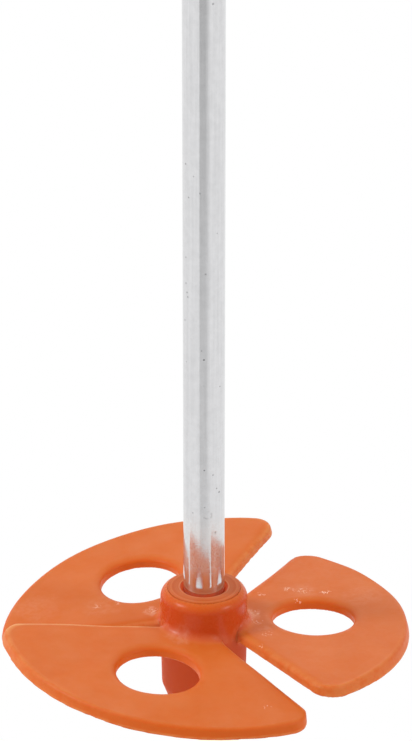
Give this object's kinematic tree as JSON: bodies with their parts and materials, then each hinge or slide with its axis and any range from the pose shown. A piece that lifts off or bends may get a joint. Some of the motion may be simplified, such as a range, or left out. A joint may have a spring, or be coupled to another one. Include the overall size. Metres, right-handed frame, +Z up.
{
  "type": "mortar mixing paddle",
  "caption": "Drill-driven mixing paddle: a round steel shaft with a hexagonal shank, clamped in the hub of a moulded plastic impeller with pitched, holed fan blades.",
  "frame": {"origin": "centre of the flat underside of the nose, on the shaft's axis", "axes": "+Z up the shaft towards the drill shank, +X along the middle of one blade's slot-to-slot span"},
  "size_m": [0.0996, 0.1006, 0.4],
  "materials": {
    "shaft_steel": "bright zinc plate, lightly streaked and pitted",
    "impeller_plastic": "satin moulded polypropylene with whitish scuffs",
    "insert_plastic": "satin moulded polypropylene",
    "fastener_steel": "zinc plate",
    "nylon": "natural nylon"
  },
  "bodies": {
    "root": {"shaft": "shaft_steel", "impeller": "impeller_plastic", "hub_bush": "insert_plastic", "shoulder_washer": "fastener_steel", "lock_nut": "fastener_steel", "lock_ring": "nylon", "end_cap": "insert_plastic"}
  },
  "joints": []
}
